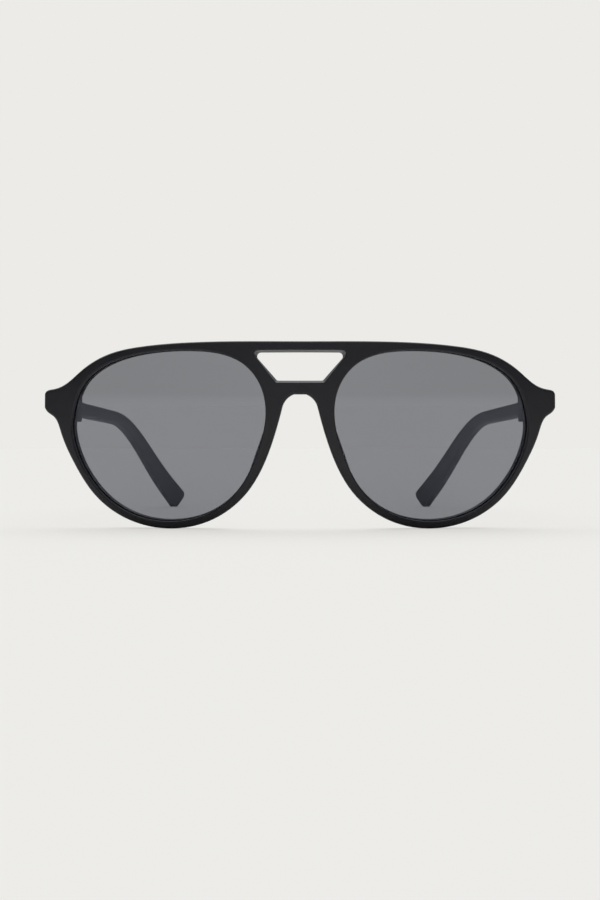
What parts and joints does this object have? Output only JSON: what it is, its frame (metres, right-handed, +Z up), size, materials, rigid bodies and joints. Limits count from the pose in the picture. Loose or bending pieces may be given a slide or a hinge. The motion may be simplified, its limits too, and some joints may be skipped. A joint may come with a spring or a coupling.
{
  "type": "aviator sunglasses",
  "caption": "Plastic aviator sunglasses with teardrop tinted lenses, an open window above the bridge and temples that fold on barrel hinges.",
  "frame": {"origin": "on the ground under the middle of the whole pair's box", "axes": "+X to the wearer's left, +Y from the front back to the temple tips, +Z up"},
  "size_m": [0.1464, 0.1474, 0.0525],
  "materials": {
    "frame_plastic": "black moulded plastic, satin gloss",
    "tinted_lens": "polished grey tinted organic lens",
    "pad_plastic": "black, polished",
    "hinge_metal": "nickel silver, lightly brushed",
    "screw_metal": "stainless, turned",
    "wire_metal": "drawn wire"
  },
  "bodies": {
    "front": {"front_frame": "frame_plastic", "lens_left": "tinted_lens", "nose_pad_left": "pad_plastic", "front_hinge_leaf_left": "hinge_metal", "front_leaf_screws_left": "screw_metal", "hinge_screw_left": "screw_metal", "lens_right": "tinted_lens", "nose_pad_right": "pad_plastic", "front_hinge_leaf_right": "hinge_metal", "front_leaf_screws_right": "screw_metal", "hinge_screw_right": "screw_metal"},
    "temple_left_arm": {"temple_left": "frame_plastic", "temple_hinge_leaf_left": "hinge_metal", "temple_leaf_screws_left": "screw_metal", "core_wire_left": "wire_metal"},
    "temple_right_arm": {"temple_right": "frame_plastic", "temple_hinge_leaf_right": "hinge_metal", "temple_leaf_screws_right": "screw_metal", "core_wire_right": "wire_metal"}
  },
  "joints": [
    {"name": "temple_left_fold", "type": "hinge", "parent": "front", "child": "temple_left_arm", "pos_m": [0.06622, -0.05457, 0.03536], "axis": [0, 0, 1], "range_deg": [0, 82]},
    {"name": "temple_right_fold", "type": "hinge", "parent": "front", "child": "temple_right_arm", "pos_m": [-0.06622, -0.05457, 0.03536], "axis": [0, 0, -1], "range_deg": [0, 70]}
  ]
}
